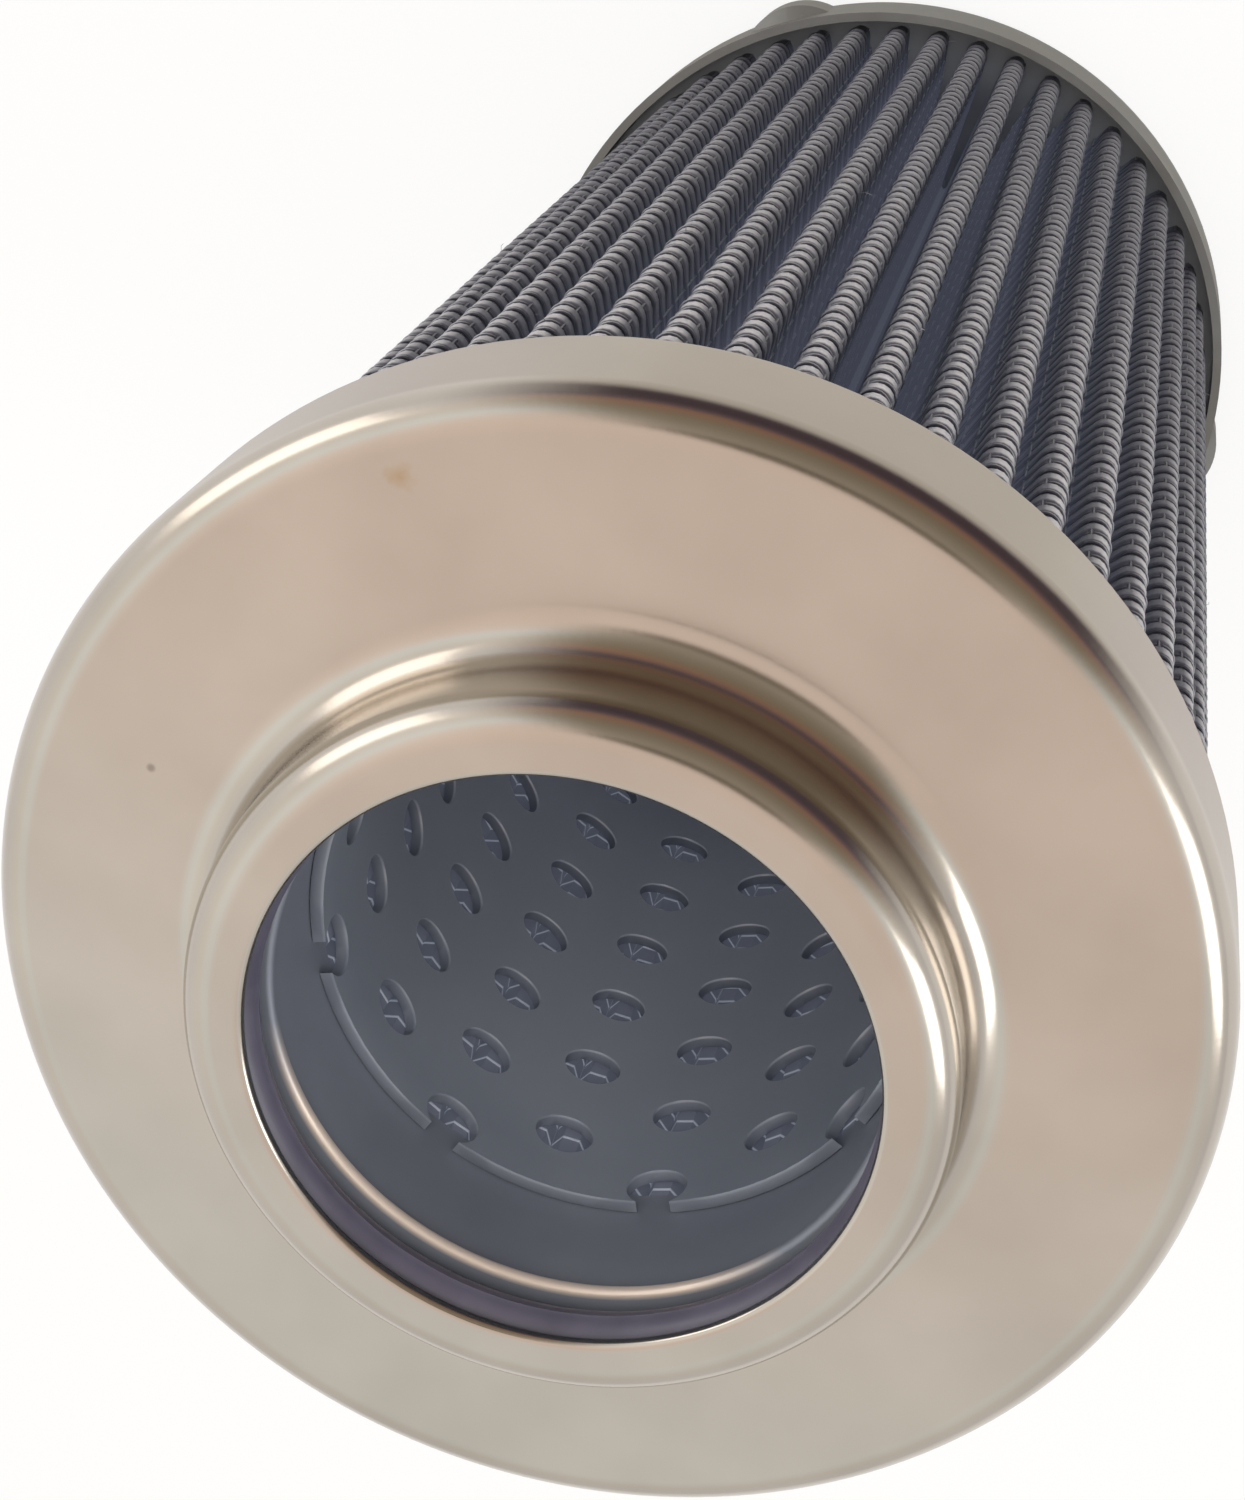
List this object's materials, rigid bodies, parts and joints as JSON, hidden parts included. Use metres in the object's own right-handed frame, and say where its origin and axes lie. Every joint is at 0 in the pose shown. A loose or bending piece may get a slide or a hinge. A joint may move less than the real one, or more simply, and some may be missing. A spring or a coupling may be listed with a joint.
{
  "type": "transmission filter element",
  "caption": "Round pleated wire-mesh filter element with stamped steel end caps, an open raised neck with a sealing ring at one end and a closed cap with small lugs at the other.",
  "frame": {"origin": "centre of the closed end cap's flat foot, on the element's axis", "axes": "+Z along the element's axis, from the closed cap towards the open neck"},
  "size_m": [0.069, 0.068, 0.1435],
  "materials": {
    "plated_cap_steel": "satin",
    "dark_steel": "satin",
    "wire_cloth": "satin",
    "glass_mat": "matte",
    "seal_rubber": "satin",
    "potting_resin": "matte"
  },
  "bodies": {
    "root": {"top_end_cap": "plated_cap_steel", "neck_seal_ring": "seal_rubber", "seal_collar": "dark_steel", "top_potting": "potting_resin", "outer_mesh": "wire_cloth", "filter_media": "glass_mat", "inner_mesh": "wire_cloth", "centre_tube": "dark_steel", "bottom_potting": "potting_resin", "bottom_end_cap": "plated_cap_steel"}
  },
  "joints": []
}
